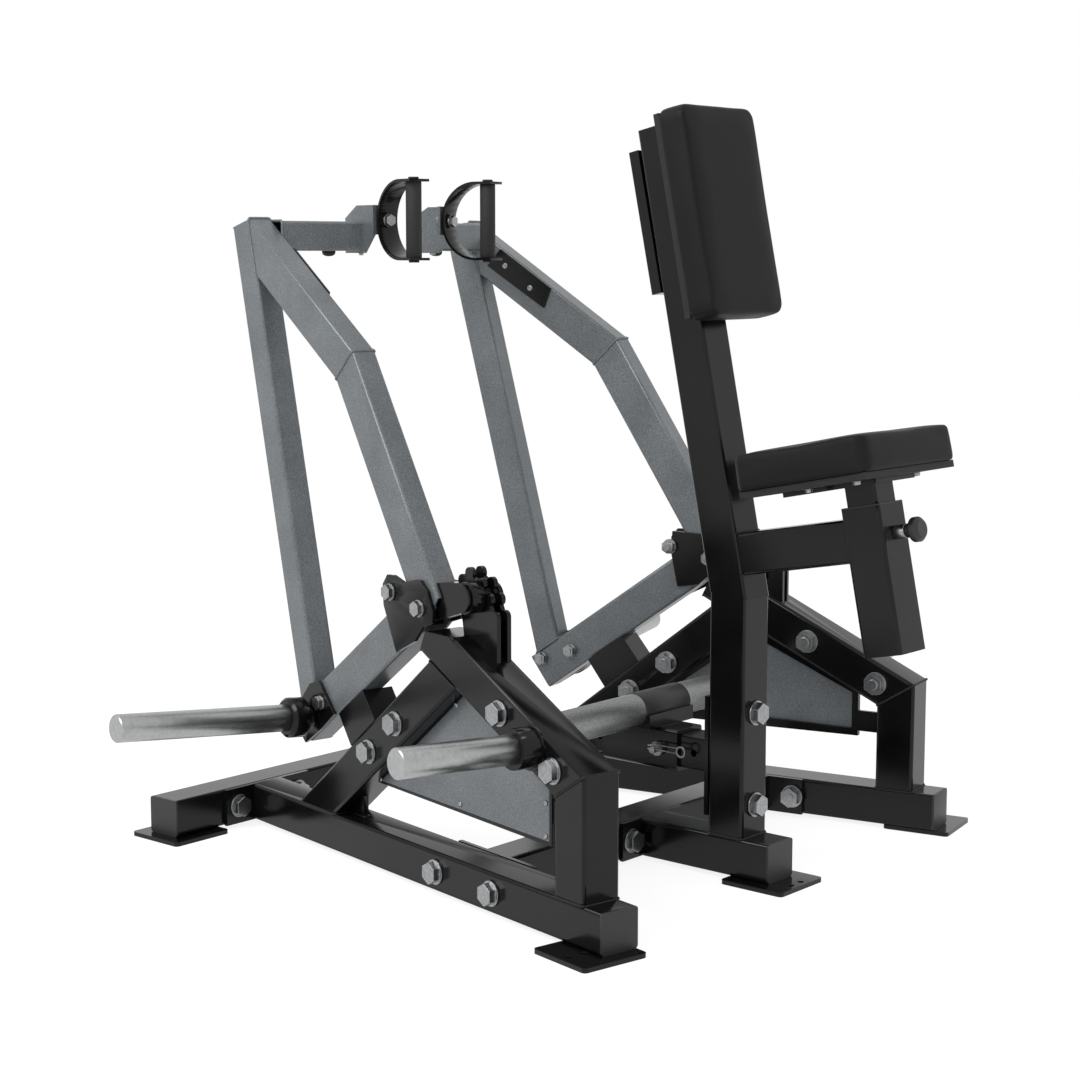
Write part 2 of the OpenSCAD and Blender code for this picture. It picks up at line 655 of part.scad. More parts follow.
// knuckle from the end of the bent tube to the hub, with the welded axle
module arm_hub() {
    difference() {
        union() {
            rod(piv, hub_o[0], hub_o[1], 2 * hub_r);
            sz([[596, 470], [598, 477], [686, piv[1] - hub_r + 2], [piv[0], piv[1] + hub_r - 1],
                [640, 549], [612, 545], [590, 530]], hub_o[0], hub_o[1]);
        }
        sz([bend, bt_rear, e1, bt_low, bend + arm_d * btn], hub_o[0] - 5, hub_o[1] + 5);
    }
    rod(piv, 3, cheek_o[1] + cheek_t + 9, axle_d);
    rod(piv, 3, 9.5, 46);
    rod(piv, cheek_o[1] + cheek_t + 1, cheek_o[1] + cheek_t + 9, 46);
}
p1 = [[472, 491], [510, 412], [566, 439], [592, 468], [619, 478], [621, 499], [604, 531],
    [584, 547], [566, 546], [535, 538], [504, 547], [484, 546], [470, 528]];
p2 = [[497, 507], [512, 436], [560, 444], [590, 470], [622, 480], [628, 500], [608, 545], [500, 548]];
p3 = [[100, 1110], [219, 1030], [202, 989], [68, 1075]];
p_bolts = [[583, 499], [496, 517]];
hp = [[256, 322], [308, 268], [262, 232], [208, 197], [188, 216], [186, 268], [226, 312]];
hp_bolts = [[266, 283], [198, 260]];
arm_bd = 14;
module arm_plates() {
    difference() {
        sz(p1, arm_o - plate_t, arm_o);
        for (b = p_bolts) rod(b, arm_o - plate_t - 1, arm_o + 1, arm_bd + 1);
    }
    difference() {
        sz(p2, arm_o1, arm_o1 + plate_t);
        for (b = p_bolts) rod(b, arm_o1 - 1, arm_o1 + plate_t + 1, arm_bd + 1);
    }
    difference() {
        sz(hp, arm_o - plate_t, arm_o);
        for (b = hp_bolts) rod(b, arm_o - plate_t - 1, arm_o + 1, arm_bd + 1);
    }
    sz(p3, arm_o1, arm_o1 + 4);
    // hub and collar of the loading horn
    translate([load_p[0], arm_o - plate_t + 2, load_p[1]]) rotate([90 - load_a, 0, 0])
        difference() {
            union() {
                cylinder(h = 24, d = 28);
                translate([0, 0, 22]) cylinder(h = 28, d = 74);
                translate([0, 0, 50]) cylinder(h = 6, d1 = 74, d2 = 62);
            }
            translate([0, 0, 26]) cylinder(h = 60, d = horn_d - 4);
        }
}
module loading_horn() translate([load_p[0], arm_o - plate_t + 2, load_p[1]])
    rotate([90 - load_a, 0, 0]) translate([0, 0, 26]) horn(30, load_len);
module arm_bolts() {
    for (b = p_bolts) through(b, arm_o - plate_t, arm_o1 + plate_t, arm_bd, 24, 30);
    for (b = hp_bolts) through(b, arm_o - plate_t, arm_o1, arm_bd, 22, 26);
    // swivel of the handle
    translate([0, sw_o, sw[1]]) rotate([0, 90, 0]) {
        translate([0, 0, 80]) cylinder(h = 25, d = 12);
        translate([0, 0, sw[0] + 3.2]) cylinder(h = 3, d = 16);
        translate([0, 0, sw[0] + 4]) cylinder(h = 3, d = 24);
        translate([0, 0, sw[0] + 7]) cylinder(h = 8, d = 20 / cos(30), $fn = 6);
        // spacer between the bracket and the strap
        translate([0, 0, 97]) cylinder(h = 2.2, d = 24);
        translate([0, 0, 78]) cylinder(h = 10, d = 20 / cos(30), $fn = 6);
        translate([0, 0, 88]) cylinder(h = 3, d = 30);
    }
}
ct_s = 33;
ct_z = 1133;
ct_w = 56;
module arm_cross() {
    translate([ct_s, arm_o1, ct_z]) rotate([-90, 0, 0])
        box_tube(sw_o - 29 - arm_o1, ct_w, ct_w, 5);
    // bracket from the tube's end to the swivel
    sz([[0, 1101], [64, 1101], [97, 1136], [97, 1192], [40, 1192], [0, 1168]],
        sw_o - 29, sw_o - 22);
    difference() {
        translate([91, sw_o - 22, 1136]) cube([6, 46, 56]);
        translate([80, sw_o, sw[1]]) rotate([0, 90, 0]) cylinder(h = 30, d = 12.6);
    }
}
// D-shaped handle: curved strap and grip, turning on the swivel
module handle_strap() {
    difference() {
        translate([0, sw_o + 22.5, 0]) rotate([90, 0, 0]) linear_extrude(45) {
            difference() {
                translate([ring_c, sw[1]]) circle(ring_r, $fn = 96);
                translate([ring_c, sw[1]]) circle(ring_r - 5, $fn = 96);
                translate([ring_c, sw[1] - 100]) square([200, 200]);
            }
            for (z = [sw[1] + ring_r - 5, sw[1] - ring_r])
                translate([ring_c - 0.5, z]) square([grip_s + 20 - ring_c, 5]);
        }
        translate([90, sw_o, sw[1]]) rotate([0, 90, 0]) cylinder(h = 20, d = 12 + 2 * fit);
        for (z = [sw[1] + ring_r - 6, sw[1] - ring_r - 1])
            translate([grip_s, sw_o, z]) cylinder(h = 7, d = 12);
    }
}
module handle_grip() translate([grip_s, sw_o, sw[1] - ring_r + 5]) {
    cylinder(h = 2 * ring_r - 10, d = 30);
    translate([0, 0, -5]) cylinder(h = 2 * ring_r, d = 12);
    for (z = [-9, 2 * ring_r - 5]) translate([0, 0, z]) cylinder(h = 4, d = 20);
}

// ---- fasteners of the frame ------------------------------------------------
module frame_bolts() {
    for (m = [0, 1]) mirror([m, 0, 0]) {
        left() {
            for (i = [0 : 3]) through(bolt_at(i), 0, tube);
            for (s = rail_bolts) through([s, zb + rail_h / 2], 0, tube + flange_t);
        }
        mid() for (x = flange_x) bolt_y(x, yb - flange_t, zb + rail_h / 2, 30);
    }
    mid() {
        for (x = [-66, 66]) bolt_y(x, cr_front - flange_t, zb + rail_h / 2, 30);
        for (z = [135, 300]) bolt_y(0, post_y - tube / 2, z, 30);
    }
}

color(black) cross_rail();  // front_cross_rail
color(black) left() side_rail();  // side_rail_left
color(black) right() side_rail();  // side_rail_right
color(black) mid_beam();
color(black) centre_rail();
color(black) foot_plates();
color(black) end_caps();
color(black) left() rear_leg();  // rear_leg_left
color(black) right() rear_leg();  // rear_leg_right
color(black) left() rear_strut();  // rear_strut_left
color(black) right() rear_strut();  // rear_strut_right
color(black) left() front_strut();  // front_strut_left
color(black) right() front_strut();  // front_strut_right
color(grey) left() side_panel(-4);  // side_panel_left
color(grey) right() side_panel(24);  // side_panel_right
color(black) left() panel_frame(-4);  // panel_frame_left
color(black) right() panel_frame(24);  // panel_frame_right
color(steel) left() storage_horn();  // storage_horn_left
color(steel) right() storage_horn();  // storage_horn_right
color(black) { left() arm_bumper(); right() arm_bumper(); }  // arm_bumpers
color(black) centre_post();
color(black) pad_board();  // chest_pad_board
color(vinyl) chest_pad();
color(black) placard_tray();
color(black) seat_sleeve();
color(black) sleeve_liners();
color(black) foot_slide();  // foot_slide_tube
color(steel) frame_bolts();
color(steel) pop_housing();  // pop_pin_housing
color(grey) left() arm_upright();  // arm_upright_left
color(grey) left() arm_diagonal();  // arm_diagonal_left
color(grey) left() arm_bent();  // arm_bent_tube_left
color(grey) left() arm_lower();  // arm_lower_tube_left
color(grey) left() arm_cross();  // arm_cross_tube_left
color(black) left() arm_plates();  // arm_plates_left
color(black) left() arm_hub();  // arm_hub_left
color(steel) left() loading_horn();  // loading_horn_left
color(steel) left() arm_bolts();  // arm_bolts_left
color(grey) right() arm_upright();  // arm_upright_right
color(grey) right() arm_diagonal();  // arm_diagonal_right
color(grey) right() arm_bent();  // arm_bent_tube_right
color(grey) right() arm_lower();  // arm_lower_tube_right
color(grey) right() arm_cross();  // arm_cross_tube_right
color(black) right() arm_plates();  // arm_plates_right
color(black) right() arm_hub();  // arm_hub_right
color(steel) right() loading_horn();  // loading_horn_right
color(steel) right() arm_bolts();  // arm_bolts_right
color(black) left() handle_strap();  // handle_strap_left
color(black) left() handle_grip();  // handle_grip_left
color(black) right() handle_strap();  // handle_strap_right
color(black) right() handle_grip();  // handle_grip_right
color(black) seat_frame();
color(black) seat_board();
color(vinyl) seat_cushion();
color(black) pop_pin();
color(black) carriage();  // foot_carriage
color(steel) foot_bar();
color(steel) hitch_pin();
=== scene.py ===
"""Looks of a plate-loaded, chest-supported seated row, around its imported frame.

Metres, +Z up, +Y the way the seated user faces, +X the user's right. A side frame
is described once in its own axes: s rearward along the rail, o inward from the
outer face, z up. LEFT takes that to the machine's axes and RIGHT mirrors it.
"""

import math

import bmesh
import bpy
import numpy as np
from mathutils import Matrix, Vector
from mathutils.bvhtree import BVHTree


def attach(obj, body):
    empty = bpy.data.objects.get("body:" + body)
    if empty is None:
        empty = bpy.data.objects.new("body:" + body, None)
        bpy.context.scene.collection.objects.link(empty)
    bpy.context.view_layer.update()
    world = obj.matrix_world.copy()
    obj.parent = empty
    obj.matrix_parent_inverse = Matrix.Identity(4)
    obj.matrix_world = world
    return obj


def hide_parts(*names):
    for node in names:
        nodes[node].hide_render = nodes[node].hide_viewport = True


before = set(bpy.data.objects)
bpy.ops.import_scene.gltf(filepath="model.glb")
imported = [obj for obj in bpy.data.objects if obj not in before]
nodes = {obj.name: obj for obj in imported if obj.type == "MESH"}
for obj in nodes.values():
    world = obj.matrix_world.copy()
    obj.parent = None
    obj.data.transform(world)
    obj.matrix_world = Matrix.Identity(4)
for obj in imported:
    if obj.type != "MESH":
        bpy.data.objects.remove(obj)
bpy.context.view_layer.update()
scene = bpy.context.scene
MM = 0.001

# ---- places of the part, in metres ----------------------------------------------
SHIFT = 91.66 * MM  # what centres the machine on its overall box
SPLAY = math.radians(11.25)  # splay of each side frame
LEFT = Matrix.Translation((-0.3226, 0.4962 + SHIFT, 0)) @ Matrix.Rotation(
    -(math.pi / 2 + SPLAY), 4, "Z"
)
RIGHT = Matrix.Scale(-1, 4, (1, 0, 0)) @ LEFT
SEAT_TILT = math.radians(11.7)
SEAT = Matrix.Translation((0, -0.7453 + SHIFT, 0.4394)) @ Matrix.Rotation(-SEAT_TILT, 4, "X")
PAD_TILT = math.radians(11.75)
PAD = Matrix.Translation((0, -0.38082 + SHIFT, 0.98044)) @ Matrix.Rotation(-PAD_TILT, 4, "X")
BOARD = 0.012  # plywood under each cushion
SIDES = (("left", LEFT), ("right", RIGHT))


# ---- materials ------------------------------------------------------------------
def linear(code):
    """sRGB hex to linear RGBA."""
    parts = [int(code[i : i + 2], 16) / 255 for i in (1, 3, 5)]
    return [p / 12.92 if p <= 0.04045 else ((p + 0.055) / 1.055) ** 2.4 for p in parts] + [1.0]


def add(tree, kind, links=None, **settings):
    """Adds a node: settings are its properties, links its inputs, as sockets or values."""
    made = tree.nodes.new(kind)
    for name, value in settings.items():
        setattr(made, name, value)
    for name, value in (links or {}).items():
        if isinstance(value, bpy.types.NodeSocket):
            tree.links.new(value, made.inputs[name])
        else:
            made.inputs[name].default_value = value
    return made


def material(name, shader):
    """A new material with its Principled shader set to plain numbers."""
    made = bpy.data.materials.new(name)
    made.use_nodes = True
    made.node_tree.nodes.clear()
    tree = made.node_tree
    bsdf = add(tree, "ShaderNodeBsdfPrincipled", shader)
    add(tree, "ShaderNodeOutputMaterial", {"Surface": bsdf.outputs[0]})
    where = add(tree, "ShaderNodeTexCoord").outputs["Object"]
    return made, tree, bsdf, where


def ramp(tree, factor, stops):
    """Colour ramp over (position, hex) stops."""
    made = add(tree, "ShaderNodeValToRGB", {"Fac": factor})
    points = made.color_ramp.elements
    for i, (position, code) in enumerate(stops):
        point = points[i] if i < 2 else points.new(position)
        point.position = position
        point.color = linear(code)
    return made.outputs["Color"]


def tint(tree, bsdf, factor, stops):
    """Base colour from a ramp over (position, hex) stops."""
    tree.links.new(ramp(tree, factor, stops), bsdf.inputs["Base Color"])


def vary(tree, bsdf, factor, low, high):
    """Roughness between low and high."""
    spread = add(
        tree, "ShaderNodeMapRange", {"Value": factor, "To Min": low, "To Max": high}
    )
    tree.links.new(spread.outputs["Result"], bsdf.inputs["Roughness"])


def relief(tree, bsdf, height, depth):
    """Bump of a depth in metres."""
    bump = add(tree, "ShaderNodeBump", {"Height": height, "Distance": depth, "Strength": 1.0})
    tree.links.new(bump.outputs["Normal"], bsdf.inputs["Normal"])


def black_powder_coat():
    """Steel with a glossy black polyester powder coat, baked: a deep black with soft
    mirror reflections, broken by the slight orange peel of the baked film."""
    made, tree, bsdf, where = material("gloss_black_powder_coat", {"Specular IOR Level": 0.25})
    film = add(tree, "ShaderNodeTexNoise", {"Vector": where, "Scale": 7.0, "Detail": 3.0})
    tint(tree, bsdf, film.outputs["Fac"], [(0.35, "#0A0A0B"), (0.7, "#111112")])
    vary(tree, bsdf, film.outputs["Fac"], 0.1, 0.26)
    peel = add(tree, "ShaderNodeTexNoise", {"Vector": where, "Scale": 260.0, "Detail": 1.0})
    relief(tree, bsdf, peel.outputs["Fac"], 0.00006)
    return made


def grey_powder_coat():
    """Steel with a silver-vein powder coat: mid grey, metal flake in the film, so it is
    speckled at about 2 mm and has a broad dull highlight. The flake is drawn coarser
    than the real 0.3 mm so that it shows at this size."""
    made, tree, bsdf, where = material(
        "silver_vein_powder_coat", {"Metallic": 0.3, "Specular IOR Level": 0.5}
    )
    flake = add(
        tree,
        "ShaderNodeTexNoise",
        {"Vector": where, "Scale": 420.0, "Detail": 4.0, "Roughness": 0.75},
    )
    cloud = add(tree, "ShaderNodeTexNoise", {"Vector": where, "Scale": 9.0, "Detail": 2.0})
    speckle = ramp(
        tree,
        flake.outputs["Fac"],
        [(0.3, "#52575A"), (0.48, "#6D7275"), (0.62, "#7F8486"), (0.75, "#A8ADAF")],
    )
    shade = ramp(tree, cloud.outputs["Fac"], [(0.3, "#E4E4E4"), (0.7, "#FFFFFF")])
    both = add(
        tree, "ShaderNodeMix", {"Factor": 1.0}, data_type="RGBA", blend_type="MULTIPLY"
    )
    tree.links.new(speckle, both.inputs[6])
    tree.links.new(shade, both.inputs[7])
    tree.links.new(both.outputs[2], bsdf.inputs["Base Color"])
    vary(tree, bsdf, flake.outputs["Fac"], 0.27, 0.43)
    vein = add(tree, "ShaderNodeTexVoronoi", {"Vector": where, "Scale": 340.0})
    relief(tree, bsdf, vein.outputs["Distance"], 0.00012)
    return made


def drawn_steel(name, codes, rough, grain):
    """Bare or plated steel bar, cold drawn: a bright metal with a faint mottle and fine
    scratches. grain is the size of the mottle in metres."""
    made, tree, bsdf, where = material(name, {"Metallic": 1.0})
    mottle = add(
        tree,
        "ShaderNodeTexNoise",
        {"Vector": where, "Scale": 1 / grain, "Detail": 6.0, "Roughness": 0.65},
    )
    tint(tree, bsdf, mottle.outputs["Fac"], [(0.3, codes[0]), (0.7, codes[1])])
    vary(tree, bsdf, mottle.outputs["Fac"], *rough)
    fine = add(tree, "ShaderNodeTexNoise", {"Vector": where, "Scale": 900.0, "Detail": 2.0})
    relief(tree, bsdf, fine.outputs["Fac"], 0.00003)
    return made


def upholstery_vinyl():
    """PVC-coated fabric, embossed with a fine leather grain of about 1.5 mm and wrapped
    over foam: a dull black with a wide soft sheen."""
    made, tree, bsdf, where = material("black_upholstery_vinyl", {"Specular IOR Level": 0.16})
    hide = add(
        tree,
        "ShaderNodeTexVoronoi",
        {"Vector": where, "Scale": 620.0, "Randomness": 1.0},
        feature="DISTANCE_TO_EDGE",
    )
    cloud = add(tree, "ShaderNodeTexNoise", {"Vector": where, "Scale": 12.0, "Detail": 3.0})
    tint(tree, bsdf, cloud.outputs["Fac"], [(0.3, "#0E0E0F"), (0.7, "#141415")])
    vary(tree, bsdf, cloud.outputs["Fac"], 0.42, 0.58)
    relief(tree, bsdf, hide.outputs["Distance"], 0.00025)
    return made


def moulded_plastic(name, code, rough, grain):
    """Injection-moulded plastic or rubber with the spark-eroded texture of its mould."""
    made, tree, bsdf, where = material(name, {"Specular IOR Level": 0.45})
    spark = add(tree, "ShaderNodeTexNoise", {"Vector": where, "Scale": 1 / grain, "Detail": 3.0})
    tint(tree, bsdf, spark.outputs["Fac"], [(0.25, code), (0.9, "#2E2F30")])
    vary(tree, bsdf, spark.outputs["Fac"], rough - 0.07, rough + 0.07)
    relief(tree, bsdf, spark.outputs["Fac"], 0.0001)
    return made


def painted_plywood():
    """Birch plywood, cut and painted black: the grain still shows through the paint."""
    made, tree, bsdf, where = material("painted_plywood", {"Specular IOR Level": 0.35})
    long_grain = add(tree, "ShaderNodeMapping", {"Vector": where, "Scale": (1.0, 0.08, 1.0)})
    fibre = add(
        tree,
        "ShaderNodeTexNoise",
        {"Vector": long_grain.outputs["Vector"], "Scale": 240.0, "Detail": 5.0},
    )
    tint(tree, bsdf, fibre.outputs["Fac"], [(0.3, "#121212"), (0.75, "#242322")])
    vary(tree, bsdf, fibre.outputs["Fac"], 0.5, 0.75)
    relief(tree, bsdf, fibre.outputs["Fac"], 0.0002)
    return made


BLACK = black_powder_coat()
GREY = grey_powder_coat()
HORN = drawn_steel("drawn_steel_bar", ("#9C9E9D", "#B0B2B1"), (0.28, 0.36), 0.009)
ZINC = drawn_steel("bright_zinc_plate", ("#838586", "#A8AAAB"), (0.26, 0.36), 0.005)
SPECKLE = drawn_steel("speckled_silver_coat", ("#6A6C6C", "#A2A4A3"), (0.36, 0.48), 0.0025)
VINYL = upholstery_vinyl()
PLASTIC = moulded_plastic("moulded_black_plastic", "#161617", 0.45, 0.0012)
RUBBER = moulded_plastic("moulded_black_rubber", "#121212", 0.7, 0.0016)
PLYWOOD = painted_plywood()

FINISH = {
    "side_panel": GREY,
    "arm_upright": GREY,
    "arm_diagonal": GREY,
    "arm_bent": GREY,
    "arm_lower": GREY,
    "arm_cross": GREY,
    "storage_horn": HORN,
    "loading_horn": HORN,
    "frame_bolts": ZINC,
    "arm_bolts": ZINC,
    "pop_pin_housing": ZINC,
    "hitch_pin": ZINC,
    "pop_pin": PLASTIC,
    "foot_bar": SPECKLE,
    "end_caps": PLASTIC,
    "sleeve_liners": PLASTIC,
    "placard_tray": BLACK,
    "arm_bumpers": BLACK,
    "handle_grip": RUBBER,
    "chest_pad_board": PLYWOOD,
    "seat_board": PLYWOOD,
    "chest_pad": VINYL,
    "seat_cushion": VINYL,
}


def finish_of(node):
    """The longest entry of FINISH that the node's name starts with, else the black coat."""
    found = [key for key in FINISH if node.startswith(key)]
    return FINISH[max(found, key=len)] if found else BLACK


# ---- the frame's own metal: finish and softened edges -----------------------------
EDGE = 0.0009  # radius that the coat leaves on a cut edge
SAME_POINT = 0.00001  # points closer than this are one
FLAT_WITHIN = math.radians(0.5)  # faces that turn less than this are one flat face
SHARP_FROM = math.radians(40)  # edges that turn more than this are softened
for name, obj in nodes.items():
    obj.data.materials.clear()
    obj.data.materials.append(finish_of(name))
    joined = obj.modifiers.new("join", "WELD")
    joined.merge_threshold = SAME_POINT
    flats = obj.modifiers.new("flats", "DECIMATE")
    flats.decimate_type = "DISSOLVE"
    flats.angle_limit = FLAT_WITHIN
    soft = obj.modifiers.new("edge", "BEVEL")
    soft.width = EDGE
    soft.segments = 2
    soft.limit_method = "ANGLE"
    soft.angle_limit = SHARP_FROM
    soft.harden_normals = True
    soft.use_clamp_overlap = True


# ---- making pieces ----------------------------------------------------------------
def piece(name, mesh, finish, body):
    """An object at the origin that rides on a body."""
    obj = bpy.data.objects.new(name, mesh)
    scene.collection.objects.link(obj)
    if finish:
        obj.data.materials.clear()
        obj.data.materials.append(finish)
    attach(obj, body)
    return obj


def mesh_of(name, bm, place=None):
    """The bmesh as a mesh, put in place with its faces outwards."""
    if place:
        bm.transform(place)
    bmesh.ops.remove_doubles(bm, verts=bm.verts, dist=1e-6)
    bmesh.ops.recalc_face_normals(bm, faces=bm.faces)
    mesh = bpy.data.meshes.new(name)
    bm.to_mesh(mesh)
    bm.free()
    for face in mesh.polygons:
        face.use_smooth = True
    return mesh


def evaluated(obj):
    """What the object's modifiers make, as a plain mesh."""
    graph = bpy.context.evaluated_depsgraph_get()
    return bpy.data.meshes.new_from_object(obj.evaluated_get(graph), depsgraph=graph)


# ---- cushions ----------------------------------------------------------------------
CORNER_R = 0.022  # corners of a cushion, seen from the front
FRONT_R = 0.005  # edge round its front face
TRIM = 0.003  # the block is this much smaller, which the pressed skin takes up again
TRIM_FRONT = 0.0025
VOXEL = 0.004
CAP = 0.0035  # furthest move of a point under pressure
HELD_BELOW, PART_HELD_BELOW = 0.008, 0.020  # heights over the back face
PART_HELD = 0.35
PRESSED_FRAMES = 20
SPREAD_ROUNDS = 40
EVEN_ROUNDS = 3


def cushion_start(w, h, t, corner, edge):
    """Foam block w by h by t with rounded corners and a small front edge radius, back face
    at z = 0."""
    bm = bmesh.new()
    rings = [(0.0, 0.002), (0.003, 0.0), (t * 0.5, 0.0)]
    for k in range(4):
        a = math.radians(30 * k)
        rings.append((t - edge * (1 - math.sin(a)), edge * (1 - math.cos(a))))
    quarter_steps = 8
    least_r = 0.002
    loops = []
    for z, inset in rings:
        loop = []
        for qx, qy, start in ((1, 1, 0), (-1, 1, 90), (-1, -1, 180), (1, -1, 270)):
            for k in range(quarter_steps + 1):
                a = math.radians(start + 90 * k / quarter_steps)
                r = max(corner - inset, least_r)
                cx, cy = qx * (w / 2 - inset - r), qy * (h / 2 - inset - r)
                loop.append(bm.verts.new((cx + r * math.cos(a), cy + r * math.sin(a), z)))
        loops.append(loop)
    for lower, upper in zip(loops, loops[1:]):
        n = len(lower)
        for i in range(n):
            bm.faces.new((lower[i], lower[(i + 1) % n], upper[(i + 1) % n], upper[i]))
    bm.faces.new(list(reversed(loops[0])))
    bm.faces.new(loops[-1])
    return bm


def voxels(obj):
    """Remeshes the block into even small faces."""
    remesh = obj.modifiers.new("voxels", "REMESH")
    remesh.mode = "VOXEL"
    remesh.voxel_size = VOXEL
    remesh.use_smooth_shade = True
    obj.data = evaluated(obj)
    obj.modifiers.clear()


def pressed(obj):
    """The block's skin under air pressure, with its back face held, as a mesh."""
    held = obj.vertex_groups.new(name="held")
    for v in obj.data.vertices:
        if v.co.z < HELD_BELOW:
            held.add([v.index], 1.0, "REPLACE")
        elif v.co.z < PART_HELD_BELOW:
            held.add([v.index], PART_HELD, "REPLACE")
    cloth = obj.modifiers.new("cloth", "CLOTH")
    settings = cloth.settings
    settings.quality = 6
    settings.mass = 0.4
    settings.use_pressure = True
    settings.uniform_pressure_force = 4.0
    settings.tension_stiffness = settings.compression_stiffness = 25
    settings.shear_stiffness = 15
    settings.bending_stiffness = 6
    settings.vertex_group_mass = "held"
    settings.pin_stiffness = 1.0
    settings.effector_weights.gravity = 0
    cloth.collision_settings.use_collision = False
    cloth.point_cache.frame_start = 1
    cloth.point_cache.frame_end = PRESSED_FRAMES
    for f in range(1, PRESSED_FRAMES + 1):
        scene.frame_set(f)
    swollen = evaluated(obj)
    obj.modifiers.clear()
    return swollen


def spread(mesh, moves):
    """Averages each point's move with its neighbours', round after round."""
    moves = np.array(moves)
    ends = np.array([e.vertices[:] for e in mesh.edges])
    count = np.bincount(ends.ravel(), minlength=len(moves))[:, None]
    for _ in range(SPREAD_ROUNDS):
        total = np.zeros_like(moves)
        np.add.at(total, ends[:, 0], moves[ends[:, 1]])
        np.add.at(total, ends[:, 1], moves[ends[:, 0]])
        moves = (moves + total / count) / 2
    return moves


def swell(obj):
    """Crowns the block's skin between its edges, as air pressure does. No point moves
    further than CAP, and the moves are spread so that the tight cover shows no puckers."""
    voxels(obj)
    swollen = pressed(obj)
    moves = []
    for v, w in zip(obj.data.vertices, swollen.vertices):
        move = w.co - v.co
        if move.length > CAP:
            move *= CAP / move.length
        moves.append(move)
    for v, move in zip(obj.data.vertices, spread(obj.data, moves)):
        v.co += Vector(move)
    bpy.data.meshes.remove(swollen)
    scene.frame_set(1)


def even(mesh):
    """Smooths what the voxels left uneven, a few rounds of averaging."""
    bm = bmesh.new()
    bm.from_mesh(mesh)
    for _ in range(EVEN_ROUNDS):
        bmesh.ops.smooth_vert(
            bm, verts=bm.verts, factor=0.5, use_axis_x=True, use_axis_y=True, use_axis_z=True
        )
    bm.to_mesh(mesh)
    bm.free()


def cushion(name, node, w, h, t, place, body):
    """The pad that stands for a CAD cushion: made flat at the origin, then put in place."""
    start = cushion_start(w - TRIM, h - TRIM, t - TRIM_FRONT, CORNER_R, FRONT_R)
    obj = piece(name, mesh_of(name, start), VINYL, body)
    swell(obj)
    even(obj.data)
    obj.data.transform(place)
    obj.data.materials.clear()
    obj.data.materials.append(VINYL)
    for face in obj.data.polygons:
        face.use_smooth = True
    smooth = obj.modifiers.new("smooth", "SUBSURF")
    smooth.levels = smooth.render_levels = 1
    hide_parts(node)


PAD_W, PAD_H, PAD_T = 0.218, 0.370, 0.056
SEAT_W, SEAT_D, SEAT_T = 0.294, 0.265, 0.063
SEAT_REAR, SEAT_UNDER = -0.093, 0.293  # rear edge and underside of the seat board, on the seat
pad_back = (
    PAD @ Matrix.Translation((0, -BOARD, PAD_H / 2)) @ Matrix.Rotation(math.pi / 2, 4, "X")
)
seat_back = SEAT @ Matrix.Translation((0, SEAT_REAR + SEAT_D / 2, SEAT_UNDER + BOARD))
cushion("chest_cushion", "chest_pad", PAD_W, PAD_H, PAD_T, pad_back, "base")
cushion("saddle_cushion", "seat_cushion", SEAT_W, SEAT_D, SEAT_T, seat_back, "seat")


# ---- weld beads ---------------------------------------------------------------------
TOUCHING = 0.0015  # parts closer than this are taken to touch
FACING = -0.97  # cosine of the angle between two faces that look at each other
SAME_FACING = 0.999
IN_PLANE = 0.0001
BEAD_R, RIPPLE_PITCH, BEAD_STEP = 0.0026, 0.0036, 0.0009
RIPPLE = 0.14  # part of its radius that a bead swells and shrinks


def run_of(points):
    """Length along these points."""
    return sum((p - q).length for p, q in zip(points, points[1:]))


def touching_end(a, b):
    """Outer edge of the end face with which tube a meets part b, as points in order."""
    bm = bmesh.new()
    bm.from_mesh(nodes[a].data)
    bmesh.ops.remove_doubles(bm, verts=bm.verts, dist=SAME_POINT)
    other = bmesh.new()
    other.from_mesh(nodes[b].data)
    tree = BVHTree.FromBMesh(other)
    best = None
    for face in bm.faces:
        middle = face.calc_center_median()
        _, normal, _, distance = tree.find_nearest(middle, TOUCHING)
        if distance is not None and normal.dot(face.normal) < FACING:
            if best is None or face.calc_area() > best.calc_area():
                best = face
    offset = best.normal.dot(best.verts[0].co)
    ring = {
        f
        for f in bm.faces
        if f.normal.dot(best.normal) > SAME_FACING
        and abs(best.normal.dot(f.verts[0].co) - offset) < IN_PLANE
    }
    rim = [e for e in bm.edges if sum(f in ring for f in e.link_faces) == 1]
    loops = []
    while rim:
        edge = rim.pop()
        loop = [edge.verts[0], edge.verts[1]]
        while True:
            step = next((e for e in rim if loop[-1] in e.verts), None)
            if step is None:
                break
            rim.remove(step)
            loop.append(step.other_vert(loop[-1]))
        loops.append([v.co.copy() for v in loop])
    found = max(loops, key=run_of)
    bm.free()
    other.free()
    return found[:-1] if (found[0] - found[-1]).length < SAME_POINT else found


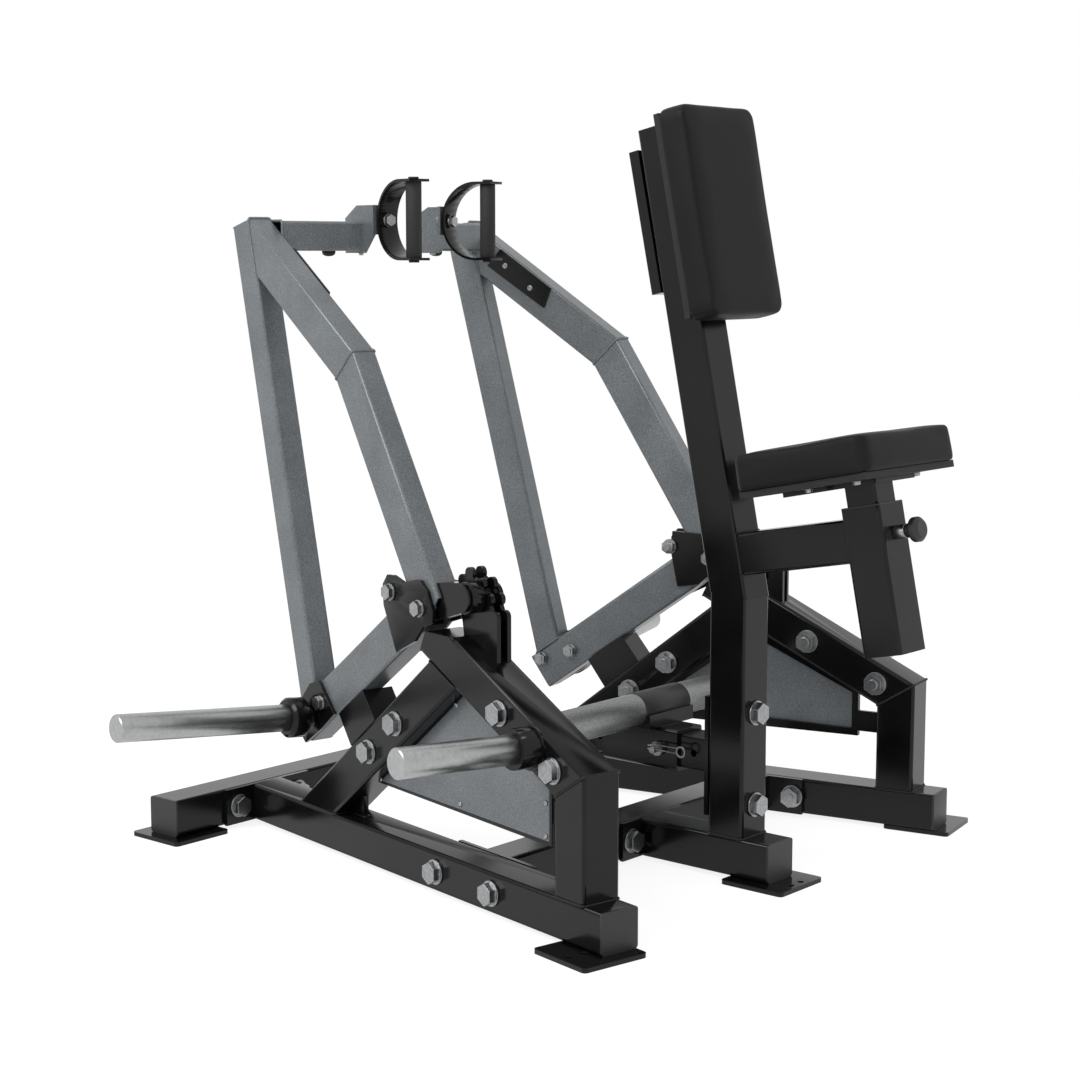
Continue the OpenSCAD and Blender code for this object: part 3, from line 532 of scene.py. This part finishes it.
def bead_tree():
    """Seams to weld beads: a rod of overlapping ripples along each edge loop."""
    tree = bpy.data.node_groups.new("weld_bead", "GeometryNodeTree")
    tree.interface.new_socket("Seams", in_out="INPUT", socket_type="NodeSocketGeometry")
    sizes = (("Bead Radius", BEAD_R), ("Ripple Pitch", RIPPLE_PITCH), ("Step", BEAD_STEP))
    for name, value in sizes:
        socket = tree.interface.new_socket(
            name, in_out="INPUT", socket_type="NodeSocketFloat"
        )
        socket.default_value = value
    tree.interface.new_socket("Finish", in_out="INPUT", socket_type="NodeSocketMaterial")
    tree.interface.new_socket("Beads", in_out="OUTPUT", socket_type="NodeSocketGeometry")
    given = add(tree, "NodeGroupInput").outputs
    path = add(tree, "GeometryNodeMeshToCurve", {"Mesh": given["Seams"]})
    path = add(
        tree,
        "GeometryNodeResampleCurve",
        {"Curve": path.outputs["Curve"], "Length": given["Step"]},
        mode="LENGTH",
    )
    along = add(tree, "GeometryNodeSplineParameter").outputs["Length"]
    turns = add(tree, "ShaderNodeMath", {0: along, 1: given["Ripple Pitch"]}, operation="DIVIDE")
    angle = add(
        tree, "ShaderNodeMath", {0: turns.outputs[0], 1: math.tau}, operation="MULTIPLY"
    )
    wave = add(tree, "ShaderNodeMath", {0: angle.outputs[0]}, operation="SINE")
    swell_by = add(
        tree,
        "ShaderNodeMath",
        {0: wave.outputs[0], 1: RIPPLE, 2: 1.0},
        operation="MULTIPLY_ADD",
    )
    path = add(
        tree,
        "GeometryNodeSetCurveRadius",
        {"Curve": path.outputs["Curve"], "Radius": swell_by.outputs[0]},
    )
    round_profile = add(
        tree,
        "GeometryNodeCurvePrimitiveCircle",
        {"Resolution": 6, "Radius": given["Bead Radius"]},
    )
    bead = add(
        tree,
        "GeometryNodeCurveToMesh",
        {"Curve": path.outputs["Curve"], "Profile Curve": round_profile.outputs["Curve"]},
    )
    if "Scale" in bead.inputs:
        tree.links.new(swell_by.outputs[0], bead.inputs["Scale"])
    solid = add(tree, "GeometryNodeRealizeInstances", {"Geometry": bead.outputs["Mesh"]})
    coat = add(
        tree,
        "GeometryNodeSetMaterial",
        {"Geometry": solid.outputs["Geometry"], "Material": given["Finish"]},
    )
    add(tree, "NodeGroupOutput", {"Beads": coat.outputs["Geometry"]})
    return tree


def set_inputs(modifier, **values):
    """Sets a Geometry Nodes modifier's inputs by their names."""
    for item in modifier.node_group.interface.items_tree:
        if item.in_out == "INPUT" and item.name.replace(" ", "_") in values:
            modifier[item.identifier] = values[item.name.replace(" ", "_")]


def made_by_nodes(name, mesh, tree, body, slot, **values):
    """What a Geometry Nodes tree makes of a mesh, as one plain piece."""
    obj = bpy.data.objects.new(name, mesh)
    scene.collection.objects.link(obj)
    modifier = obj.modifiers.new("nodes", "NODES")
    modifier.node_group = tree
    set_inputs(modifier, **values)
    done = evaluated(obj)
    bpy.data.objects.remove(obj)
    for face in done.polygons:
        face.use_smooth = True
    made = piece(name, done, None, body)


ARM_SEAMS = (
    ("arm_diagonal", "arm_upright"),
    ("arm_diagonal", "arm_bent_tube"),
    ("arm_lower_tube", "arm_bent_tube"),
    ("arm_upright", "arm_lower_tube"),
    ("arm_cross_tube", "arm_upright"),
)
FRAME_SEAMS = (
    ("rear_leg", "side_rail"),
    ("rear_leg", "rear_strut"),
    ("front_strut", "side_rail"),
    ("front_strut", "rear_strut"),
)
BEADS = bead_tree()


def weld(name, pairs, finish, body, slot):
    """Beads along the seams of these pairs of nodes, as one piece."""
    points, edges = [], []
    for a, b in pairs:
        loop = touching_end(a, b)
        start = len(points)
        points += loop
        edges += [(start + i, start + (i + 1) % len(loop)) for i in range(len(loop))]
    seams = bpy.data.meshes.new(name)
    seams.from_pydata(points, edges, [])
    made_by_nodes(name, seams, BEADS, body, slot, Finish=finish)


for side, _ in SIDES:
    weld(
        f"weld_beads_arm_{side}",
        [(f"{a}_{side}", f"{b}_{side}") for a, b in ARM_SEAMS],
        GREY,
        f"{side}_arm",
        "arm_grey",
    )
weld(
    "weld_beads_frame",
    [(f"{a}_{side}", f"{b}_{side}") for a, b in FRAME_SEAMS for side, _ in SIDES]
    + [("centre_post", "centre_rail"), ("seat_sleeve", "centre_post")],
    BLACK,
    "base",
    "frame_black",
)


# ---- small fasteners ------------------------------------------------------------------
HEAD_SIDES = 24


def head_loop(bm, radius, z, six):
    """One ring of a head's points: a circle, or a hexagon where six is set."""
    made = []
    for k in range(HEAD_SIDES):
        a = math.tau * k / HEAD_SIDES
        flat = a % (math.pi / 3) - math.pi / 6
        q = radius * (math.cos(math.pi / 6) / math.cos(flat) if six else 1.0)
        made.append(bm.verts.new((q * math.cos(a), q * math.sin(a), z)))
    return made


# rings of a head from its seat up: part of the radius, part of the height, hexagon or not
HEX_HEAD = (
    (1.0, 0.0, 0),
    (1.0, 0.18, 0),
    (0.86, 0.25, 0),
    (0.82, 0.26, 1),
    (0.82, 0.93, 1),
    (0.76, 1.0, 1),
    (0.3, 1.0, 0),
)
BUTTON_HEAD = (
    (1.0, 0.0, 0),
    (1.0, 0.25, 0),
    (0.93, 0.6, 0),
    (0.78, 0.88, 0),
    (0.58, 1.0, 0),
    (0.42, 1.0, 1),
    (0.4, 0.45, 1),
    (0.1, 0.4, 0),
)


def head_mesh(name, r, h, rings):
    """Screw head at the origin with its seat at z = 0."""
    bm = bmesh.new()
    loops = [head_loop(bm, out * r, up * h, six) for out, up, six in rings]
    for lower, upper in zip(loops, loops[1:]):
        for i in range(HEAD_SIDES):
            j = (i + 1) % HEAD_SIDES
            bm.faces.new((lower[i], lower[j], upper[j], upper[i]))
    bm.faces.new(list(reversed(loops[0])))
    bm.faces.new(loops[-1])
    return mesh_of(name, bm)


def setting_tree():
    """Sets a screw head on every point, turned to the point's facing."""
    tree = bpy.data.node_groups.new("set_screws", "GeometryNodeTree")
    for name, kind in (("Places", "Geometry"), ("Head", "Object"), ("Finish", "Material")):
        tree.interface.new_socket(name, in_out="INPUT", socket_type="NodeSocket" + kind)
    scale = tree.interface.new_socket(
        "Head Scale", in_out="INPUT", socket_type="NodeSocketFloat"
    )
    scale.default_value = 1.0
    tree.interface.new_socket("Screws", in_out="OUTPUT", socket_type="NodeSocketGeometry")
    given = add(tree, "NodeGroupInput").outputs
    facing = add(
        tree, "GeometryNodeInputNamedAttribute", {"Name": "facing"}, data_type="FLOAT_VECTOR"
    )
    turned = add(
        tree,
        "FunctionNodeAlignRotationToVector",
        {"Vector": facing.outputs["Attribute"]},
        axis="Z",
    )
    head = add(tree, "GeometryNodeObjectInfo", {"Object": given["Head"]})
    set_on = add(
        tree,
        "GeometryNodeInstanceOnPoints",
        {
            "Points": given["Places"],
            "Instance": head.outputs["Geometry"],
            "Rotation": turned.outputs["Rotation"],
            "Scale": given["Head Scale"],
        },
    )
    solid = add(tree, "GeometryNodeRealizeInstances", {"Geometry": set_on.outputs["Instances"]})
    coat = add(
        tree,
        "GeometryNodeSetMaterial",
        {"Geometry": solid.outputs["Geometry"], "Material": given["Finish"]},
    )
    add(tree, "NodeGroupOutput", {"Screws": coat.outputs["Geometry"]})
    return tree


def head_object(name, r, h, rings):
    """The head as an object outside the scene, for the tree to copy."""
    return bpy.data.objects.new(name, head_mesh(name, r, h, rings))


BUTTON = head_object("button_head", 0.0048, 0.0026, BUTTON_HEAD)
HEX_SMALL = head_object("flanged_hex_head", 0.0078, 0.0064, HEX_HEAD)
SCREWS = setting_tree()


def screws(name, places, head, finish, body, slot, scale=1.0):
    """Heads at these (point, facing) places, as one piece."""
    points = bpy.data.meshes.new(name)
    points.from_pydata([p for p, _ in places], [], [])
    facing = points.attributes.new("facing", "FLOAT_VECTOR", "POINT")
    for item, (_, way) in zip(facing.data, places):
        item.vector = way
    made_by_nodes(
        name, points, SCREWS, body, slot, Head=head, Finish=finish, Head_Scale=scale
    )


def on_side(side, s, o, z, way=(0, -1, 0)):
    """A place and a facing of a side frame, in the machine's axes."""
    return side @ Vector((s, o, z)), (side.to_3x3() @ Vector(way)).normalized()


# places on a side frame, as s and z
PANEL_O = 0.034  # outer face of a side panel
PANEL_TOP, PANEL_TAB = (0.635, 0.335), (0.882, 0.213)
PANEL_LOW = ((0.401, 0.159), (0.645, 0.163), (0.882, 0.157))
RIGHT_RAISE = 0.024  # the right panel's low screws sit this much higher
PLATE_O = 0.056  # inner face of the plate on an arm's diagonal
PLATE_SCREWS = ((0.112, 1.075), (0.171, 1.030))
BRACKET_SCREW = (0.050, 0.2355, 1.101)  # s, o and z, under the bracket of a cross tube
SEAT_SCREW_X, SEAT_SCREW_Y = (-0.093, 0.093), (-0.037, 0.057)
DOWN, INWARD = (0, 0, -1), (0, 1, 0)

panel_places = []
for side, raised in ((LEFT, 0.0), (RIGHT, RIGHT_RAISE)):
    low = [(s, z + raised) for s, z in PANEL_LOW]
    panel_places += [on_side(side, s, PANEL_O, z) for s, z in (PANEL_TOP, *low, PANEL_TAB)]
screws("panel_screws", panel_places, BUTTON, ZINC, "base", "zinc")
for name, side in SIDES:
    inner = [on_side(side, s, PLATE_O, z, INWARD) for s, z in PLATE_SCREWS]
    screws(f"plate_screws_{name}", inner, BUTTON, ZINC, f"{name}_arm", "zinc", 1.3)
for name, side in SIDES:
    under = [on_side(side, *BRACKET_SCREW, DOWN)]
    screws(f"bracket_screw_{name}", under, HEX_SMALL, ZINC, f"{name}_arm", "zinc", 0.7)
seat_down = (SEAT.to_3x3() @ Vector(DOWN)).normalized()
seat_places = [
    (SEAT @ Vector((x, y, SEAT_UNDER)), seat_down) for x in SEAT_SCREW_X for y in SEAT_SCREW_Y
]
screws("seat_board_screws", seat_places, HEX_SMALL, ZINC, "seat", "zinc")


# ---- foot bar sleeve and arm bumps -------------------------------------------------
def lathe(name, profile, place, steps=48, solid=False):
    """Profile of (radius, z) points turned about Z and put in place: a closed ring, or a
    solid whose two ends are capped."""
    bm = bmesh.new()
    turns = [math.tau * k / steps for k in range(steps)]
    loops = [
        [bm.verts.new((r * math.cos(a), r * math.sin(a), z)) for a in turns] for r, z in profile
    ]
    for lower, upper in zip(loops, loops[1:] if solid else loops[1:] + loops[:1]):
        for i in range(steps):
            j = (i + 1) % steps
            bm.faces.new((lower[i], lower[j], upper[j], upper[i]))
    if solid:
        bm.faces.new(loops[0])
        bm.faces.new(loops[-1])
    return mesh_of(name, bm, place)


BAR_R = 0.030
BAR_Y, BAR_Z = -0.245 + SHIFT, 0.178 + 0.075 + BAR_R + 0.001  # on the carriage's top
SLEEVE_HALF, SLEEVE_T = 0.065, 0.0014
SLEEVE_GAP, SLEEVE_LIP = 0.0002, 0.0008  # play on the bar, rounding of the ends
SLEEVE = [
    (BAR_R + SLEEVE_GAP, -SLEEVE_HALF),
    (BAR_R + SLEEVE_T * 0.6, -SLEEVE_HALF),
    (BAR_R + SLEEVE_T, -SLEEVE_HALF + SLEEVE_LIP),
    (BAR_R + SLEEVE_T, SLEEVE_HALF - SLEEVE_LIP),
    (BAR_R + SLEEVE_T * 0.6, SLEEVE_HALF),
    (BAR_R + SLEEVE_GAP, SLEEVE_HALF),
]
BUMP = [(0.013, 0.0), (0.013, -0.003), (0.0118, -0.0065), (0.008, -0.0092), (0.0035, -0.0102)]
BUMP_PLACE = (0.021, 0.180, 1.105)  # s, o and z, on the underside of a cross tube

bar_axis = Matrix.Translation((0, BAR_Y, BAR_Z)) @ Matrix.Rotation(math.pi / 2, 4, "Y")
sleeve_mesh = lathe("foot_bar_sleeve", SLEEVE, bar_axis)
sleeve = piece("foot_bar_sleeve", sleeve_mesh, PLASTIC, "foot_carriage")

for name, side in SIDES:
    place = side @ Matrix.Translation(BUMP_PLACE)
    bump_mesh = lathe(f"rubber_bump_{name}", BUMP, place, steps=24, solid=True)
    bump = piece(f"rubber_bump_{name}", bump_mesh, RUBBER, f"{name}_arm")


# ---- camera, light and floor ---------------------------------------------------------
camera_data = bpy.data.cameras.new("camera")
camera_data.lens = 71.667
camera_data.sensor_width = 36.0
camera = bpy.data.objects.new("camera", camera_data)
camera.location = (-3.0597, -2.4974, 1.0986)
camera.rotation_euler = (math.pi / 2 - 0.13213, 0.0, -0.86229)
scene.collection.objects.link(camera)
scene.camera = camera
scene.view_settings.view_transform = "Standard"


def lamp(name, place, target, size, power, mirrored):
    """Square softbox, mirrored in glossy surfaces or not."""
    data = bpy.data.lights.new(name, "AREA")
    data.size = size
    data.energy = power
    obj = bpy.data.objects.new(name, data)
    obj.location = place
    aim = Vector(target) - Vector(place)
    obj.rotation_euler = aim.to_track_quat("-Z", "Y").to_euler()
    scene.collection.objects.link(obj)
    obj.visible_glossy = mirrored


MIDDLE = (0, 0, 0.5)  # of the machine
lamp("key_softbox", (-3.2, 0.6, 3.4), MIDDLE, 2.2, 95, True)
lamp("fill_softbox", (-0.6, -4.0, 2.2), MIDDLE, 2.4, 40, False)


def background_rays(tree):
    """1 for the rays that see the background white: camera, glossy and transmission."""
    rays = add(tree, "ShaderNodeLightPath").outputs
    seen = rays["Is Camera Ray"]
    for other in ("Is Glossy Ray", "Is Transmission Ray"):
        either = add(tree, "ShaderNodeMath", {0: seen, 1: rays[other]}, operation="MAXIMUM")
        seen = either.outputs[0]
    return seen


SKY_LIGHT, SKY_SEEN = 0.6, 1.0  # what lights the machine, what the eye sees
FLOOR_HALF = 12.0
FLOOR_DROP = 0.0002  # keeps the floor off the undersides of the feet
PAPER, WHITE = "#F2F2F2", "#FFFFFF"
FLOOR_GLOW, GLOW_SHARE = 1.2, 0.72

world = bpy.data.worlds.new("studio")
scene.world = world
world.use_nodes = True
sky = world.node_tree
sky.nodes.clear()
level = add(
    sky,
    "ShaderNodeMapRange",
    {"Value": background_rays(sky), "To Min": SKY_LIGHT, "To Max": SKY_SEEN},
)
light = add(
    sky, "ShaderNodeBackground", {"Color": linear(WHITE), "Strength": level.outputs["Result"]}
)
add(sky, "ShaderNodeOutputWorld", {"Surface": light.outputs[0]})

floor_mesh = bpy.data.meshes.new("studio_floor")
corners = [(x * FLOOR_HALF, y * FLOOR_HALF, 0) for x, y in ((-1, -1), (1, -1), (1, 1), (-1, 1))]
floor_mesh.from_pydata(corners, [], [(0, 1, 2, 3)])
floor = bpy.data.objects.new("studio_floor", floor_mesh)
floor.location.z = -FLOOR_DROP
scene.collection.objects.link(floor)
pale = bpy.data.materials.new("pale_studio_floor")
pale.use_nodes = True
tree = pale.node_tree
tree.nodes.clear()
paper = add(tree, "ShaderNodeBsdfDiffuse", {"Color": linear(PAPER)})
glow = add(tree, "ShaderNodeEmission", {"Color": linear(WHITE), "Strength": FLOOR_GLOW})
lit = add(
    tree, "ShaderNodeMixShader", {"Fac": GLOW_SHARE, 1: paper.outputs[0], 2: glow.outputs[0]}
)
shown = add(
    tree,
    "ShaderNodeMixShader",
    {"Fac": background_rays(tree), 1: paper.outputs[0], 2: lit.outputs[0]},
)
add(tree, "ShaderNodeOutputMaterial", {"Surface": shown.outputs[0]})
floor.data.materials.append(pale)
